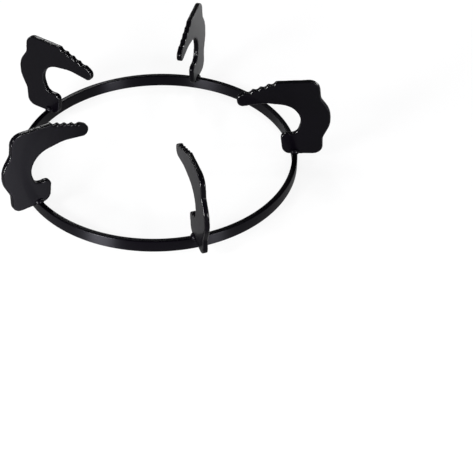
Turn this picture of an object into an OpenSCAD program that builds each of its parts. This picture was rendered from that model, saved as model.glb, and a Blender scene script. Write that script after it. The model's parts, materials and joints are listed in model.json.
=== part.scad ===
// Wok ring for a gas hob: a hoop of flat bar on edge carries five upright claw plates.
// Each plate has a notch that drops over the bar, and two weld beads hold it there.
// The origin is on the hoop's axis, level with its underside, and +Z is up.

/* [Hoop] */
// Outer diameter of the hoop
ring_d = 185; // [150:1:240]
// Height of the flat bar, which stands on edge
bar_h = 8.2; // [6:0.1:14]
// Thickness of the flat bar
bar_t = 3.6; // [2.5:0.1:6]
// Rounding along the bar's four edges
bar_edge_r = 0.7; // [0.2:0.1:1]

/* [Claw plates] */
// Thickness of the plates
plate_t = 3.5; // [2.5:0.1:5]
// Depth of the notch that drops over the bar
notch_depth = 1.8; // [0.8:0.1:3]
// Gap between the bar and each side of the notch
notch_gap = 0.1; // [0.05:0.05:0.3]

/* [Claw outline: heights above the plate's underside] */
// Overall height of a claw
claw_h = 57.3; // [50:0.1:70]
// Height of the ankle, where the outer edge turns outwards
ankle_h = 13.1; // [10:0.1:16]
// Height of the lower end of the belly
belly_low_h = 23.5; // [20:0.1:27]
// Height of the upper end of the belly
belly_high_h = 34.2; // [31:0.1:38]
// Height of the toe, the inner foot
toe_h = 16.1; // [13:0.1:18]
// Height of the widest part of the gap behind the toe
throat_h = 28.2; // [25:0.1:32]

/* [Claw outline: depths below the top of the claw] */
// Depth of the waist, between the shoulder and the belly
waist_depth = 13.8; // [12:0.1:15]
// Depth of the highest point of the arm's underside
arm_under_depth = 16.5; // [15:0.1:18]
// Depth of the bend at the root of the arm's underside
armpit_depth = 18.8; // [18:0.1:21]
// Depth of the tip's underside
tip_under_depth = 19.2; // [18:0.1:21]
// How far the tip's upper corner lies below the last crest
tip_drop = 3.4; // [2:0.1:4]
// How far the toe's top slopes down towards its heel
heel_drop = 0.2; // [0:0.1:2]

/* [Claw outline: reaches outwards from the hoop's outer face] */
// Reach of the outer foot
foot_reach = 16.9; // [12:0.1:22]
// Reach of the ankle
ankle_reach = 16.5; // [12:0.1:20]
// Reach of the belly, the widest part
belly_reach = 21; // [18:0.1:26]
// How far the belly leans back over its height
belly_lean = 0.3; // [0:0.1:1]
// Reach of the waist
waist_reach = 14; // [11:0.1:17]
// Reach of the shoulder
shoulder_reach = 12.5; // [10:0.1:16]
// Reach of the gap behind the toe, at its widest
throat_reach = 2.5; // [1:0.1:5]

/* [Claw outline: reaches inwards from the hoop's outer face] */
// Reach of the corner behind the toe
heel_in = 0.9; // [0.2:0.1:2]
// Reach of the bend at the root of the arm's underside
armpit_in = 5.3; // [3:0.1:8]
// Reach of the toe's top corner
toe_in = 11.9; // [9:0.1:14]
// How far the toe's underside lies back from its top corner
toe_rake = 2.1; // [0:0.1:3]
// Reach of the highest point of the arm's underside
arm_under_in = 22.7; // [18:0.1:26]
// Reach of the arm's tip
tip_in = 41.2; // [38:0.1:46]
// How far the tip's underside lies back from its upper corner
tip_rake = 1.3; // [0:0.1:3]

/* [Claw outline: roundings] */
// Rounding of the outer foot
foot_r = 5.8; // [2:0.1:8]
// Rounding of the ankle
ankle_r = 6; // [2:0.5:8]
// Rounding of the belly
belly_r = 16; // [8:0.5:18]
// Rounding of the waist
waist_r = 6.7; // [3:0.1:8]
// Rounding of the shoulder
shoulder_r = 8; // [4:0.1:10]
// Rounding of the tip
tip_r = 4.2; // [2:0.1:5]
// Rounding of the arm's long underside
arm_under_r = 25; // [10:1:30]
// Rounding at the root of the arm's underside
armpit_r = 15; // [8:0.5:16]
// Rounding of the gap behind the toe, at its widest
throat_r = 13.2; // [6:0.1:14]
// Rounding of the corner behind the toe
heel_r = 5.1; // [2:0.1:6]
// Rounding of the toe's top corner
toe_top_r = 3.6; // [1:0.1:4]
// Rounding of the toe's underside
toe_sole_r = 6; // [2:0.1:6]

/* [Teeth] */
// Number of scallops along the arm's upper edge
tooth_count = 4; // [2:1:4]
// Distance from one crest to the next, along the sloping edge
tooth_pitch = 5.3; // [3.5:0.1:5.5]
// Depth of the valleys below the crests, before both are rounded
tooth_depth = 1.9; // [1:0.1:2.4]
// Rounding of the crests
crest_r = 0.8; // [0.3:0.1:1.2]
// Rounding of the valleys
valley_r = 2.2; // [1:0.1:3]
// Slope of the toothed edge, down towards the tip
tooth_slope = 21.3; // [16:0.1:24]
// Reach of the first crest, inwards from the hoop's outer face
first_crest_in = 15.8; // [13:0.1:18]
// How far the first crest lies below the top of the claw
first_crest_drop = 0.9; // [0.2:0.1:2]

/* [Welds] */
// Radius of each weld bead
weld_r = 2.7; // [2:0.1:3.5]

/* [Places round the hoop, anticlockwise] */
// Direction of the right claw's even place
first_angle = 2; // [0:0.5:72]
// How far the right claw is welded off its even place
off_right = 0; // [-3:0.1:3]
// How far the back claw is welded off its even place
off_back = 2.1; // [-3:0.1:3]
// How far the back left claw is welded off its even place
off_back_left = 1.8; // [-3:0.1:3]
// How far the left claw is welded off its even place
off_left = -2.4; // [-3:0.1:3]
// How far the front claw is welded off its even place
off_front = -1.9; // [-3:0.1:3]

/* [Hidden] */

ring_r = ring_d / 2;
seat_z = bar_h - notch_depth;
offsets = [off_right, off_back, off_back_left, off_left, off_front];
claw_angles = [for (i = [0 : len(offsets) - 1]) first_angle + i * 360 / len(offsets) + offsets[i]];

// Largest distance between a rounding and the straight pieces that draw it
arc_error = 0.02;
// Largest part of an edge that the rounding at one of its ends may use
edge_share = 0.49;
$fn = 48;

enamel = "#1b1a1e";
weld_enamel = "#26252a";

function unit(v) = v / norm(v);

// The arc that rounds corner p between its neighbours a and b. The corner is [x, y, radius],
// and the radius is limited by the shorter of the two edges.
function corner_arc(a, p, b) =
    let (
        at = [p.x, p.y],
        to_a = [a.x, a.y] - at,
        to_b = [b.x, b.y] - at,
        half = acos(unit(to_a) * unit(to_b)) / 2,
        tangent = min(p[2] / tan(half), edge_share * min(norm(to_a), norm(to_b))),
        r = tangent * tan(half),
        centre = at + unit(unit(to_a) + unit(to_b)) * r / sin(half),
        first = at + unit(to_a) * tangent - centre,
        last = at + unit(to_b) * tangent - centre,
        sweep = (cross(first, last) < 0 ? -1 : 1) * (180 - 2 * half),
        steps = max(2, ceil(abs(sweep) / (2 * acos(1 - arc_error / r))))
    )
    [for (i = [0 : steps])
        let (turn = atan2(first.y, first.x) + sweep * i / steps)
        centre + r * [cos(turn), sin(turn)]];

function rounded(corners) =
    let (n = len(corners))
    [for (i = [0 : n - 1]) each corner_arc(corners[(i + n - 1) % n], corners[i], corners[(i + 1) % n])];

// A point of the toothed edge: s along the slope from the first crest, and d below it
function tooth_point(s, d) = [
    -first_crest_in - s * cos(tooth_slope) + d * sin(tooth_slope),
    claw_h - first_crest_drop - s * sin(tooth_slope) - d * cos(tooth_slope)
];

tooth_corners = [
    for (i = [0 : tooth_count]) each [
        [each tooth_point(i * tooth_pitch, 0), crest_r],
        if (i < tooth_count) [each tooth_point((i + 0.5) * tooth_pitch, tooth_depth), valley_r]
    ]
];

outer_corners = [
    [foot_reach, 0, foot_r],
    [ankle_reach, ankle_h, ankle_r],
    [belly_reach, belly_low_h, belly_r],
    [belly_reach - belly_lean, belly_high_h, belly_r],
    [waist_reach, claw_h - waist_depth, waist_r],
    [shoulder_reach, claw_h, shoulder_r]
];

inner_corners = [
    [-tip_in, tooth_point(tooth_count * tooth_pitch, 0).y - tip_drop, tip_r],
    [-tip_in + tip_rake, claw_h - tip_under_depth, tip_r],
    [-arm_under_in, claw_h - arm_under_depth, arm_under_r],
    [-armpit_in, claw_h - armpit_depth, armpit_r],
    [throat_reach, throat_h, throat_r],
    [-heel_in, toe_h - heel_drop, heel_r],
    [-toe_in, toe_h, toe_top_r],
    [-toe_in + toe_rake, 0, toe_sole_r]
];

module plate_outline() {
    difference() {
        polygon(rounded(concat(outer_corners, tooth_corners, inner_corners)));
        translate([-bar_t - notch_gap, -notch_depth])
            square([bar_t + 2 * notch_gap, 2 * notch_depth]);
    }
}

module at_claw(angle)
    rotate([0, 0, angle])
        translate([ring_r, 0, 0])
            children();

bar_corners = [
    [ring_r - bar_t, 0, bar_edge_r],
    [ring_r, 0, bar_edge_r],
    [ring_r, bar_h, bar_edge_r],
    [ring_r - bar_t, bar_h, bar_edge_r]
];

module ring()
    color(enamel)
        rotate_extrude($fn = 180)
            polygon(rounded(bar_corners));

module claw(angle)
    color(enamel)
        at_claw(angle)
            translate([0, 0, seat_z])
                rotate([90, 0, 0])
                    linear_extrude(plate_t, center = true)
                        plate_outline();

// A round bead in each corner between the bar's top and the plate's two faces
module weld(angle)
    color(weld_enamel)
        difference() {
            at_claw(angle)
                for (side = [-1, 1])
                    translate([-bar_t / 2, side * plate_t / 2, bar_h])
                        sphere(r = weld_r);
            at_claw(angle)
                translate([-ring_r / 2, -plate_t / 2, 0])
                    cube([ring_r, plate_t, bar_h + 2 * weld_r]);
            ring();
        }

ring();
claw(claw_angles[0]);  // claw_right
claw(claw_angles[1]);  // claw_back
claw(claw_angles[2]);  // claw_back_left
claw(claw_angles[3]);  // claw_left
claw(claw_angles[4]);  // claw_front
weld(claw_angles[0]);  // weld_right
weld(claw_angles[1]);  // weld_back
weld(claw_angles[2]);  // weld_back_left
weld(claw_angles[3]);  // weld_left
weld(claw_angles[4]);  // weld_front
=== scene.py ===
# %% [markdown]
# # A wok ring in gloss black enamel
# The real thing is a hoop of flat steel bar that stands on the hob. Five claws, cut from
# steel plate, are welded across its top edge and reach inwards to cradle a wok. The whole
# ring is then dipped in enamel and fired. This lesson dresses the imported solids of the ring:
# the hoop and the welds are modelled anew, the claws get their soft enamelled edges, and
# six enamels, a floor, lamps and a camera finish the picture.

# %% Load the solids
import json
import math

import bpy
from mathutils import Euler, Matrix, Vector

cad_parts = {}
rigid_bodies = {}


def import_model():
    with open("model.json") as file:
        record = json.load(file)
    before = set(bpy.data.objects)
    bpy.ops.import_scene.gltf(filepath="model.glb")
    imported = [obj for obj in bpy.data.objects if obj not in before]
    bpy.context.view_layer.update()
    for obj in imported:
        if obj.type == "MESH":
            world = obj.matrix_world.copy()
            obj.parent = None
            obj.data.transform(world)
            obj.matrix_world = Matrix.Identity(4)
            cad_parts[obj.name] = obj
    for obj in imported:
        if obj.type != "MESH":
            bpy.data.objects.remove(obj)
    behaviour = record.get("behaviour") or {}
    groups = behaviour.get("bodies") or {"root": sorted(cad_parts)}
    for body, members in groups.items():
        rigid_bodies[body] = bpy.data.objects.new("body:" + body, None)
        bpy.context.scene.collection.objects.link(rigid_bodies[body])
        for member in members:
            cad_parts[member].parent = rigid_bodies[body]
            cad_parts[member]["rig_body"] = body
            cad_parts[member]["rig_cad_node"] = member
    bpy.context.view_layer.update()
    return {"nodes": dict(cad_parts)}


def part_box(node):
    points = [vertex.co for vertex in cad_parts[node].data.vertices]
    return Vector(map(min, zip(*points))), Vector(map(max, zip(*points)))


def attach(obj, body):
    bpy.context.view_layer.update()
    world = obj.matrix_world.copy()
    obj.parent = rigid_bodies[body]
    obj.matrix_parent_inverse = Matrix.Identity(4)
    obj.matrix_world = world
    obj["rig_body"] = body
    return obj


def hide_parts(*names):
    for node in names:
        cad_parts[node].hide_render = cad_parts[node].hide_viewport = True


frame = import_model()
MM = 0.001
CLAWS = ["right", "back", "back_left", "left", "front"]
print("solids:", sorted(frame["nodes"]))

# %% [markdown]
# ## Small helpers
# Blender's operators act on whatever is selected, and the import leaves every solid selected.
# So each step first clears the selection and then selects only what it works on. Faces and
# edges are picked by their place, which keeps working if the ring is made a little larger.

# %% Selection helpers
def select_only(*objects):
    bpy.ops.object.select_all(action="DESELECT")
    for o in objects:
        o.select_set(True)
    bpy.context.view_layer.objects.active = objects[-1]


def start_editing(obj, mode="VERT"):
    select_only(obj)
    bpy.ops.object.mode_set(mode="EDIT")
    bpy.ops.mesh.select_mode(type=mode)


def stop_editing():
    bpy.ops.object.mode_set(mode="OBJECT")


def add_and_apply(obj, kind, **settings):
    select_only(obj)
    modifier = obj.modifiers.new(kind.lower(), kind)
    for name, value in settings.items():
        setattr(modifier, name, value)
    bpy.ops.object.modifier_apply(modifier=modifier.name)


def settle(obj):
    """Moves an object's place, turn and scale into its mesh, so that it sits at the origin."""
    select_only(obj)
    bpy.ops.object.transform_apply(location=True, rotation=True, scale=True)


def report(obj):
    size = [round(d / MM, 1) for d in obj.dimensions]
    print(f"{obj.name}: {len(obj.data.polygons)} faces, {size} mm")


# %% [markdown]
# ## The camera
# The photograph is taken from about 41 degrees above the floor with a fairly long lens. The
# place was found by fitting a camera to the hoop's two visible circles and to the claws. The
# lens is counted against the long side of the picture, which is 474 pixels.

# %% Place the camera
PICTURE_W, PICTURE_H = 473, 474
FOCAL_PIXELS = 1390.5
CAMERA_DISTANCE = 930.1 * MM
CAMERA_ELEVATION = math.radians(40.531)
CAMERA_ROLL = math.radians(0.644)
ORIGIN_PIXEL = (158.7, 161.1)
MIDDLE_PIXEL = (PICTURE_W / 2, PICTURE_H / 2)

camera = bpy.data.objects.new("camera", bpy.data.cameras.new("camera"))
bpy.context.scene.collection.objects.link(camera)
bpy.context.scene.camera = camera
camera.data.sensor_width = 36
camera.data.lens = camera.data.sensor_width * FOCAL_PIXELS / PICTURE_H

tilt = Euler((math.pi / 2 - CAMERA_ELEVATION, 0, 0)).to_matrix()
roll = Euler((0, 0, CAMERA_ROLL)).to_matrix()
turn = tilt @ roll
ahead = Vector((
    (ORIGIN_PIXEL[0] - MIDDLE_PIXEL[0]) / FOCAL_PIXELS,
    -(ORIGIN_PIXEL[1] - MIDDLE_PIXEL[1]) / FOCAL_PIXELS,
    -1,
))
camera.rotation_euler = turn.to_euler()
camera.location = -(turn @ ahead) * CAMERA_DISTANCE
camera.data.clip_start, camera.data.clip_end = 0.01, 50
camera_mm = [round(c / MM) for c in camera.location]
print("camera at", camera_mm, "mm, lens", round(camera.data.lens, 1), "mm")

# %% [markdown]
# ## The hoop
# The real hoop is a length of flat bar, rolled to a circle on edge and butt welded. Its four
# long edges are softened by the rolling mill and by the enamel. It could be a torus or a
# tube with thick walls, but the surest way is the maker's own: draw the bar's section once
# and carry it round. So a small plane becomes the section, its corners are bevelled, and
# spin carries the outline round the hoop's axis.

# %% Spin the hoop from its section
BAR_EDGE = 0.7 * MM
HOOP_STEPS = 288

ring_node = frame["nodes"]["ring"]
low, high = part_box("ring")
reaches = [math.hypot(v.co.x, v.co.y) for v in ring_node.data.vertices]
bar_inside, bar_outside = min(reaches), max(reaches)
bar_middle = (bar_inside + bar_outside) / 2
bar_t, bar_h = bar_outside - bar_inside, high.z - low.z

bpy.ops.object.select_all(action="DESELECT")
bpy.ops.mesh.primitive_plane_add(
    size=1, location=(bar_middle, 0, bar_h / 2), rotation=(math.pi / 2, 0, 0)
)
hoop = bpy.context.object
hoop.name = "hoop"
hoop.scale = (bar_t, bar_h, 1)
settle(hoop)

start_editing(hoop)
bpy.ops.mesh.select_all(action="SELECT")
bpy.ops.mesh.bevel(offset=BAR_EDGE, segments=6, affect="VERTICES")
bpy.ops.mesh.select_all(action="SELECT")
bpy.ops.mesh.delete(type="ONLY_FACE")
bpy.ops.mesh.select_all(action="SELECT")
bpy.ops.mesh.spin(steps=HOOP_STEPS, angle=2 * math.pi, center=(0, 0, 0), axis=(0, 0, 1))
bpy.ops.mesh.select_all(action="SELECT")
bpy.ops.mesh.remove_doubles(threshold=0.01 * MM)
bpy.ops.mesh.normals_make_consistent(inside=False)
stop_editing()
select_only(hoop)
bpy.ops.object.shade_smooth_by_angle(angle=math.radians(30))

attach(hoop, "root")
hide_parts("ring")
report(hoop)

# %% [markdown]
# ## The claws
# Each claw is cut from flat plate, all five to one outline, so the imported solid already has
# the right shape. What it lacks is softness: melted enamel draws back from every sharp edge
# and leaves it round by about a millimetre, teeth and all. A bevel rounds an edge by the same
# amount everywhere, which is too crisp for that. So a copy of the solid is remeshed into an
# even grid of small faces, and a smooth modifier then lets the grid settle. Flat faces stay
# flat, long curves stay where they are, and only the sharp edges soften.

# %% Soften the edges of the claws
GRID = 0.32 * MM
SETTLING = 20


def enamelled_copy(node_name, piece_name):
    piece = frame["nodes"][node_name].copy()
    piece.data = piece.data.copy()
    piece.name = piece_name
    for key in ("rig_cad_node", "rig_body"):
        del piece[key]
    piece.parent = None
    bpy.context.scene.collection.objects.link(piece)
    start_editing(piece)
    bpy.ops.mesh.select_all(action="SELECT")
    bpy.ops.mesh.remove_doubles(threshold=0.005 * MM)
    stop_editing()
    return piece


claws = []
for place in CLAWS:
    claw = enamelled_copy("claw_" + place, "plate_" + place)
    add_and_apply(claw, "REMESH", mode="VOXEL", voxel_size=GRID)
    add_and_apply(claw, "SMOOTH", factor=0.5, iterations=SETTLING)
    select_only(claw)
    bpy.ops.object.shade_smooth()
    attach(claw, "root")
    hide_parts("claw_" + place)
    claws.append(claw)
    report(claw)

# %% [markdown]
# ## The weld beads
# A short bead of weld fills the corner between the bar's top and each face of a claw. It is a
# lump with a few ripples, where the metal froze in steps, and the enamel smooths it over.
# It could be carved by sculpting, but ten small beads don't need that: one round lump is
# stretched along the corner, its rings are pinched in turn to make the ripples, and each
# copy is roughened with its own seed, as no two hand-made beads are alike.

# %% Model one bead and copy it
BEAD_LONG = 3.1 * MM
BEAD_OUT = 2.5 * MM
BEAD_UP = 2.5 * MM
RIPPLE = 0.93
RIPPLE_EVERY = 3

bpy.ops.object.select_all(action="DESELECT")
bpy.ops.mesh.primitive_uv_sphere_add(
    segments=24, ring_count=18, radius=1, location=(0, 0, 0), rotation=(0, math.pi / 2, 0)
)
bead = bpy.context.object
bead.name = "bead"
bead.scale = (BEAD_UP, BEAD_OUT, BEAD_LONG)
settle(bead)

ring_places = sorted({round(v.co.x / MM, 3) for v in bead.data.vertices})
for count, along in enumerate(ring_places[2:-2]):
    if count % RIPPLE_EVERY:
        continue
    start_editing(bead)
    bpy.ops.mesh.select_all(action="DESELECT")
    stop_editing()
    for v in bead.data.vertices:
        v.select = abs(v.co.x / MM - along) < 0.01
    start_editing(bead)
    bpy.ops.transform.resize(value=(1, RIPPLE, RIPPLE), center_override=(along * MM, 0, 0))
    stop_editing()
report(bead)

# %% Lay a bead in each corner
LUMP = 0.10 * MM
BEAD_SINK = 0.1 * MM


def claw_facts(place):
    """The claw's angle round the hoop and its plate thickness, measured on its solid."""
    corners = [v.co for v in frame["nodes"]["claw_" + place].data.vertices]
    middle = sum(corners, Vector()) / len(corners)
    angle = math.atan2(middle.y, middle.x)
    across = Vector((-math.sin(angle), math.cos(angle), 0))
    spread = [c.dot(across) for c in corners]
    return angle, (max(spread) + min(spread)) / 2, max(spread) - min(spread)


for number, place in enumerate(CLAWS):
    angle, off_centre, plate_t = claw_facts(place)
    outwards = Vector((math.cos(angle), math.sin(angle), 0))
    across = Vector((-math.sin(angle), math.cos(angle), 0))
    pair = []
    for side in (-1, 1):
        lump = bead.copy()
        lump.data = bead.data.copy()
        bpy.context.scene.collection.objects.link(lump)
        start_editing(lump)
        bpy.ops.mesh.select_all(action="SELECT")
        bpy.ops.transform.vertex_random(
            offset=LUMP, uniform=0.3, normal=0.7, seed=10 * number + side + 2
        )
        bpy.ops.mesh.vertices_smooth(factor=0.5, repeat=1)
        stop_editing()
        lump.rotation_euler = (0, 0, angle)
        lump.location = outwards * bar_middle + across * (off_centre + side * plate_t / 2)
        lump.location.z = bar_h - BEAD_SINK
        settle(lump)
        pair.append(lump)
    select_only(*pair)
    bpy.ops.object.join()
    weld = bpy.context.object
    weld.name = "bead_pair_" + place
    add_and_apply(weld, "SUBSURF", levels=1, render_levels=1)
    select_only(weld)
    bpy.ops.object.shade_smooth()
    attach(weld, "root")
    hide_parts("weld_" + place)
    report(weld)
bpy.data.objects.remove(bead)

# %% [markdown]
# ## The enamels
# Vitreous enamel is glass fused to steel at about 800 degrees. Black enamel hides what is
# below, so the eye sees almost no colour, only gloss. That gloss has two parts. The skin of
# the glass mirrors sharply, and low swells a few millimetres wide, like orange peel, make
# the mirror a little wavy. The body below it holds rolling and grinding marks, which spread
# a lamp's light up and down a wall but hardly sideways.

# %% Colour and node helpers
def paint(hex_code):
    """An sRGB hex colour as the linear values that Blender's shaders work in."""
    channels = [int(hex_code[i : i + 2], 16) / 255 for i in (1, 3, 5)]
    linear = [c / 12.92 if c <= 0.04045 else ((c + 0.055) / 1.055) ** 2.4 for c in channels]
    return (*linear, 1)


def add_node(tree, kind, links=(), **settings):
    """Adds a node. Settings set its properties or its sockets; links feed its inputs."""
    node = tree.nodes.new(kind)
    for name, value in settings.items():
        if hasattr(node, name):
            setattr(node, name, value)
        else:
            node.inputs[name.replace("_", " ")].default_value = value
    for name, source in dict(links).items():
        tree.links.new(source, node.inputs[name])
    return node


# %% Write the enamel recipe
CLOUD_MM = 28.0
VIOLET_GREY = "#f1f0ff"
BLACK, SOFT_BLACK = "#010102", "#020103"
# The body's roughness, from its smoother to its rougher specks.
BODY_ROUGHNESS = (0.39, 0.45)
# The way the marks spread light. The small lean gives it a direction on flat tops too.
NEARLY_UP = (0.02, 0, 1)


def black_enamel(name, deep, pale, swell, grain, skin, gloss, body, marks=False):
    """Black glass on steel. Swell and grain are (height, width) in mm, skin is the mirror's share,
    gloss its roughness, body the reflectance below it. Marks spread its light up and down."""
    finish = bpy.data.materials.new(name)
    finish.use_nodes = True
    tree = finish.node_tree
    tree.nodes.clear()
    place = add_node(tree, "ShaderNodeTexCoord").outputs["Object"]

    def noise(width_mm, **settings):
        return add_node(
            tree, "ShaderNodeTexNoise", {"Vector": place}, Scale=1 / (width_mm * MM), **settings
        )

    swells = noise(swell[1], Detail=1.0, Roughness=0.4)
    specks = noise(grain[1], Detail=3.0, Roughness=0.6)
    cloud = noise(CLOUD_MM, Detail=2.0)
    colour = add_node(tree, "ShaderNodeMix", {"Factor": cloud.outputs["Fac"]}, data_type="RGBA")
    colour.inputs[6].default_value = paint(deep)
    colour.inputs[7].default_value = paint(pale)
    low_swell = add_node(
        tree, "ShaderNodeBump", {"Height": swells.outputs["Fac"]},
        Strength=1.0, Distance=swell[0] * MM,
    )
    fine = add_node(
        tree, "ShaderNodeBump",
        {"Height": specks.outputs["Fac"], "Normal": low_swell.outputs["Normal"]},
        Strength=1.0, Distance=grain[0] * MM,
    )
    rough = add_node(
        tree, "ShaderNodeMapRange", {"Value": specks.outputs["Fac"]},
        From_Min=0.3, From_Max=0.7, To_Min=BODY_ROUGHNESS[0], To_Max=BODY_ROUGHNESS[1],
    )
    links = {
        "Base Color": colour.outputs[2],
        "Roughness": rough.outputs["Result"],
        "Normal": fine.outputs["Normal"],
        "Coat Normal": low_swell.outputs["Normal"],
    }
    if marks:
        upwards = add_node(
            tree, "ShaderNodeVectorTransform",
            vector_type="VECTOR", convert_from="OBJECT", convert_to="WORLD",
        )
        upwards.inputs[0].default_value = NEARLY_UP
        links["Tangent"] = upwards.outputs[0]
    glass = add_node(
        tree, "ShaderNodeBsdfPrincipled", links, Coat_Weight=skin, Coat_Roughness=gloss,
        Specular_IOR_Level=body, Specular_Tint=paint(VIOLET_GREY), Anisotropic=1.0 if marks else 0.0,
    )
    add_node(tree, "ShaderNodeOutputMaterial", {"Surface": glass.outputs["BSDF"]})
    return finish


# %% [markdown]
# ## Six finishes from one recipe
# Clear glass reflects about 4 percent at a square look. On white ground that would turn the
# ring grey, and the photograph's blacks are deep, so the mirror's share is small. It differs
# from place to place. The cut edges are the blackest, rough from the saw, and glint only here
# and there. On the rims between edge and face the enamel gathers as it melts, thick and
# glassy, and draws the thin bright line along the teeth. Plate and bar shine softly, in
# broad patches, and the bar's narrow top stays darker than its walls. Each finish has a
# faint violet cast, as the light in the picture has.

# %% Give each piece its enamel
# Ground plate, which shines as one soft sheet wherever a lamp stands in the right direction.
plate_enamel = black_enamel(
    "gloss black enamel on cut plate", BLACK, SOFT_BLACK,
    swell=(0.010, 5), grain=(0.002, 0.9), skin=0.05, gloss=0.06, body=0.08, marks=True,
)
# The cut edge, near black, with a saw's unevenness that breaks a lamp into sparks.
edge_enamel = black_enamel(
    "gloss black enamel on a cut edge", BLACK, SOFT_BLACK,
    swell=(0.12, 1.3), grain=(0.01, 0.9), skin=0.08, gloss=0.08, body=0.010,
)
# The rim, where the thick round bead of glass catches a fine line of light.
rim_enamel = black_enamel(
    "gloss black enamel gathered on a rim", BLACK, SOFT_BLACK,
    swell=(0.04, 3), grain=(0.002, 0.9), skin=0.38, gloss=0.10, body=0.010,
)
# Rolled bar, whose walls show a few tall soft patches and stay dark between them.
bar_enamel = black_enamel(
    "gloss black enamel on rolled bar", BLACK, SOFT_BLACK,
    swell=(0.012, 5), grain=(0.002, 0.9), skin=0.02, gloss=0.10, body=0.093, marks=True,
)
# The bar's narrow top and underside, which lie flat and hardly shine.
bar_top_enamel = black_enamel(
    "gloss black enamel on the narrow side of rolled bar", BLACK, SOFT_BLACK,
    swell=(0.012, 5), grain=(0.002, 0.9), skin=0.02, gloss=0.10, body=0.02,
)
# Weld metal, lumpy and a little duller, with a soft dot of light on each bead.
weld_enamel = black_enamel(
    "gloss black enamel on weld metal", "#020103", "#040306",
    swell=(0.05, 5), grain=(0.03, 1.2), skin=0.08, gloss=0.12, body=0.03,
)
EDGE_LEAN, RIM_LEAN = 0.25, 0.93
FLAT_LEAN = 0.7


def coat(piece, *finishes):
    piece.data.materials.clear()
    for finish in finishes:
        piece.data.materials.append(finish)


coat(hoop, bar_enamel, bar_top_enamel)
for face in hoop.data.polygons:
    face.material_index = 1 if abs(face.normal.z) > FLAT_LEAN else 0
for place, claw in zip(CLAWS, claws):
    coat(claw, plate_enamel, edge_enamel, rim_enamel)
    angle = claw_facts(place)[0]
    across = Vector((-math.sin(angle), math.cos(angle), 0))
    for face in claw.data.polygons:
        lean = abs(face.normal.dot(across))
        face.material_index = 1 if lean < EDGE_LEAN else 2 if lean < RIM_LEAN else 0
for place in CLAWS:
    coat(bpy.data.objects["bead_pair_" + place], weld_enamel)
print("finishes:", sorted(m.name for m in bpy.data.materials if m.name.startswith("gloss")))

# %% [markdown]
# ## Floor and lamps
# The photograph has a white ground with almost no shadow. A pale matt floor gives that, and
# its material is part lamp for what the camera and the gloss see, so the ground is white
# without more light on the ring. The floor still takes the ring's soft shadow.

# %% Lay the floor
FLOOR_GLOW = 0.85

bpy.ops.object.select_all(action="DESELECT")
bpy.ops.mesh.primitive_plane_add(size=16, location=(0, 0, -0.05 * MM))
floor = bpy.context.object
floor.name = "floor"

pale_ground = bpy.data.materials.new("white matt board")
pale_ground.use_nodes = True
tree = pale_ground.node_tree
tree.nodes.clear()
ray = add_node(tree, "ShaderNodeLightPath")
seen = add_node(tree, "ShaderNodeMath", operation="MAXIMUM")
tree.links.new(ray.outputs["Is Camera Ray"], seen.inputs[0])
tree.links.new(ray.outputs["Is Glossy Ray"], seen.inputs[1])
seen_through = add_node(tree, "ShaderNodeMath", operation="MAXIMUM")
tree.links.new(seen.outputs[0], seen_through.inputs[0])
tree.links.new(ray.outputs["Is Transmission Ray"], seen_through.inputs[1])
share = add_node(tree, "ShaderNodeMath", operation="MULTIPLY")
tree.links.new(seen_through.outputs[0], share.inputs[0])
share.inputs[1].default_value = FLOOR_GLOW
board = add_node(tree, "ShaderNodeBsdfDiffuse", Color=paint("#efeff0"))
glow = add_node(tree, "ShaderNodeEmission", Color=(1, 1, 1, 1), Strength=1.0)
mix = add_node(tree, "ShaderNodeMixShader")
tree.links.new(share.outputs[0], mix.inputs[0])
tree.links.new(board.outputs[0], mix.inputs[1])
tree.links.new(glow.outputs[0], mix.inputs[2])
add_node(tree, "ShaderNodeOutputMaterial", {"Surface": mix.outputs[0]})
coat(floor, pale_ground)
print("floor:", floor.dimensions.x, "m square")

# %% [markdown]
# ## Lamps
# Black gloss is lit by what it mirrors, so each lamp is placed for the patch it makes. Two
# low soft boxes beside the camera give the hoop its patches, and the right one also lights
# the left claw. Two more, low behind the ring, light the faces of the front and the back
# claw. One at half height on the left draws the line along the back left claw's teeth, and
# one behind the ring lights the flat tops of the two left claws. Three small ones high up
# add sparks. The powers were found by rendering each lamp alone and fitting the sum of the
# pictures to the photograph, and a few were then changed a little.

# %% Hang the soft boxes
AIM = Vector((0, 0, 0.03))
ROOM_LIGHT = 0.2


def soft_box(name, azimuth, elevation, distance, size, power):
    """A lamp at an azimuth counted from the camera's side towards the right, aimed at the ring."""
    lamp = bpy.data.objects.new(name, bpy.data.lights.new(name, "AREA"))
    bpy.context.scene.collection.objects.link(lamp)
    lamp.data.shape = "RECTANGLE"
    lamp.data.size, lamp.data.size_y = size
    lamp.data.energy = power
    turn, rise = math.radians(azimuth), math.radians(elevation)
    lamp.location = distance * Vector((
        math.sin(turn) * math.cos(rise), -math.cos(turn) * math.cos(rise), math.sin(rise)
    ))
    lamp.rotation_euler = (AIM - lamp.location).to_track_quat("-Z", "Y").to_euler()
    return lamp


soft_box("left key", -37, 7, 0.7, (0.20, 0.14), 13.5)
soft_box("right key", 40.5, 7, 0.7, (0.17, 0.14), 6.2)
soft_box("low behind, right", 142, 7, 0.7, (0.15, 0.14), 2.3)
soft_box("low behind, left", -125, 15, 0.8, (0.15, 0.14), 1.6)
soft_box("half height, left", -48, 29, 1.0, (0.26, 0.15), 6)
soft_box("behind the ring", -168, 35, 1.0, (0.12, 0.12), 2.4)
soft_box("high left spark", -120, 62, 1.2, (0.12, 0.12), 1.5)
soft_box("high right spark", 120, 62, 1.2, (0.12, 0.12), 1.5)
soft_box("front right spark", 60, 60, 1.0, (0.08, 0.08), 0.8)

world = bpy.data.worlds.new("dim studio")
bpy.context.scene.world = world
world.use_nodes = True
sky = world.node_tree.nodes["Background"]
sky.inputs["Color"].default_value = paint("#f2f3f5")
sky.inputs["Strength"].default_value = ROOM_LIGHT
bpy.context.scene.view_settings.view_transform = "Standard"
